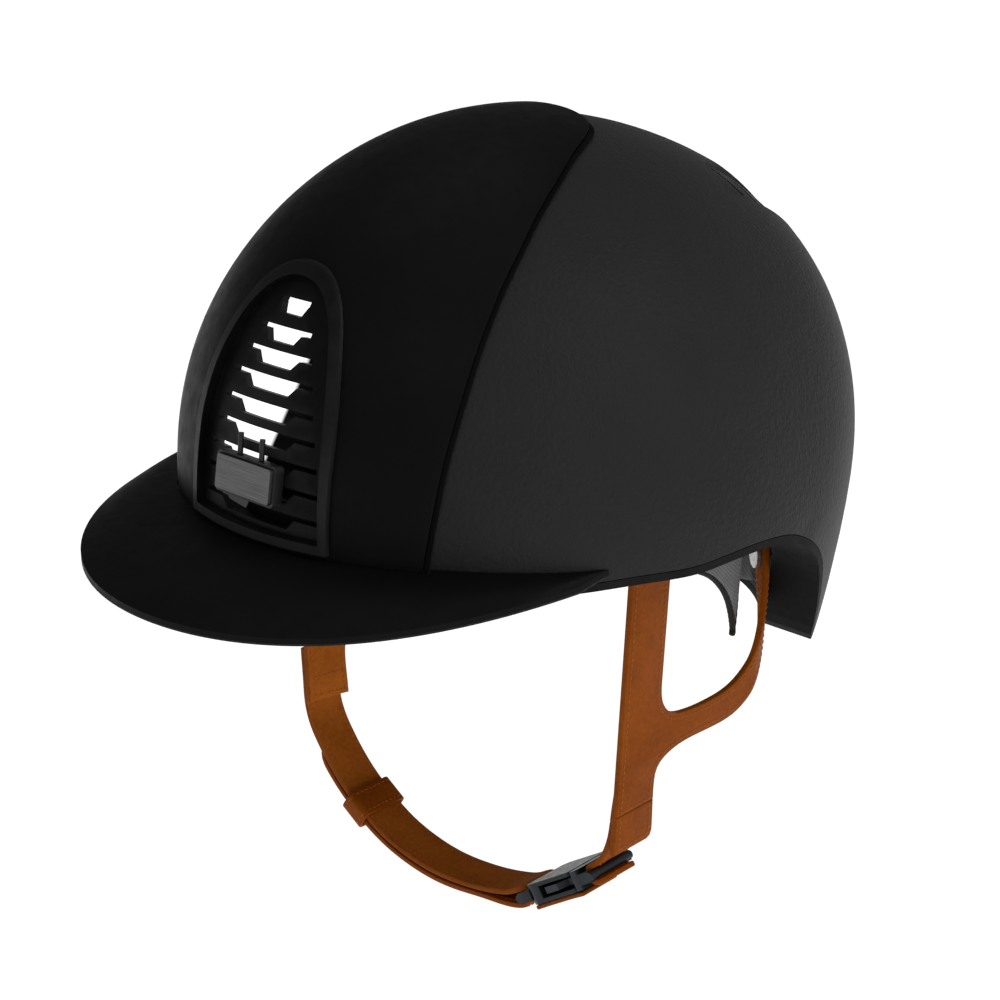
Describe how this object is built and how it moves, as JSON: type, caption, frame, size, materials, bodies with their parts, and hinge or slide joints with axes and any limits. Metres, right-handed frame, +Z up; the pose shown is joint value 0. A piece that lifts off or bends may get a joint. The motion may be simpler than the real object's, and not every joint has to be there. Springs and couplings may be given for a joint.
{
  "type": "riding helmet",
  "caption": "Peaked equestrian riding helmet with a raised centre panel, arched front vent grille, nape extension, padded lining and a leather chin harness with side-release buckle.",
  "frame": {"origin": "middle of the head opening at the height of the rider's brow, where the head enters the helmet", "axes": "+Z up through the crown, -Y forward through the peak, +X towards the wearer's left ear (the buckle side)"},
  "size_m": [0.213, 0.296, 0.2842],
  "materials": {
    "shell_skin": "fine leather-grain matte coating",
    "panel_skin": "smooth matte",
    "gasket": "matte",
    "peak_skin": "smooth matte",
    "peak_lining": "knitted lining",
    "edge_trim": "satin moulded edge",
    "grille": "satin moulded",
    "badge_holder": "satin",
    "badge_plate": "fine brushed",
    "rear_vent": "satin moulded",
    "foam": "expanded bead foam",
    "pad_fabric": "soft knitted padding",
    "flap_fabric": "grey brushed fabric",
    "binding": "woven edge tape",
    "strap_leather": "stitched tan leather",
    "anchor_metal": "zinc plated",
    "buckle": "glossy moulded"
  },
  "bodies": {
    "helmet": {"main_shell": "shell_skin", "front_panel": "panel_skin", "seam_gasket": "gasket", "visor": "peak_skin", "visor_lining": "peak_lining", "rim_trim": "edge_trim", "grille_frame": "grille", "louvre_panel": "grille", "badge_holder": "badge_holder", "badge_plate": "badge_plate", "left_rear_vent": "rear_vent", "right_rear_vent": "rear_vent", "eps_liner": "foam", "front_comfort_pad": "pad_fabric", "crown_liner": "pad_fabric", "left_side_pad": "pad_fabric", "right_side_pad": "pad_fabric", "nape_pad": "pad_fabric", "left_nape_flap": "flap_fabric", "right_nape_flap": "flap_fabric", "left_flap_binding": "binding", "right_flap_binding": "binding", "left_y_strap": "strap_leather", "right_y_strap": "strap_leather", "strap_anchors": "anchor_metal"},
    "chin_loop": {"left_chin_tab": "strap_leather", "chin_strap": "strap_leather", "buckle_guard": "strap_leather", "buckle_socket": "buckle"},
    "keeper": {"keeper_loop": "strap_leather"},
    "plug": {"buckle_plug": "buckle"},
    "front_arm": {"release_arm_front": "buckle"},
    "rear_arm": {"release_arm_rear": "buckle"}
  },
  "joints": [
    {"name": "chin_loop_swing", "type": "hinge", "parent": "helmet", "child": "chin_loop", "pos_m": [0, -0.028, -0.08], "axis": [1, 0, 0], "range_deg": [-50, 35]},
    {"name": "keeper_slide", "type": "slide", "parent": "chin_loop", "child": "keeper", "axis": [-0.8423, 0, 0.5391], "range_m": [-0.005, 0.005]},
    {"name": "buckle_release", "type": "slide", "parent": "chin_loop", "child": "plug", "axis": [0.8275, 0, 0.5615], "range_m": [0, 0.018], "deforming": ["left_chin_tab"]},
    {"name": "front_arm_squeeze", "type": "hinge", "parent": "plug", "child": "front_arm", "pos_m": [0.05994, -0.0342, -0.11661], "axis": [0.5615, 0, -0.8275], "range_deg": [0, 6], "stiffness_Nm_per_rad": 0.02},
    {"name": "rear_arm_squeeze", "type": "hinge", "parent": "plug", "child": "rear_arm", "pos_m": [0.05994, -0.0218, -0.11661], "axis": [-0.5615, 0, 0.8275], "range_deg": [0, 6], "stiffness_Nm_per_rad": 0.02}
  ]
}
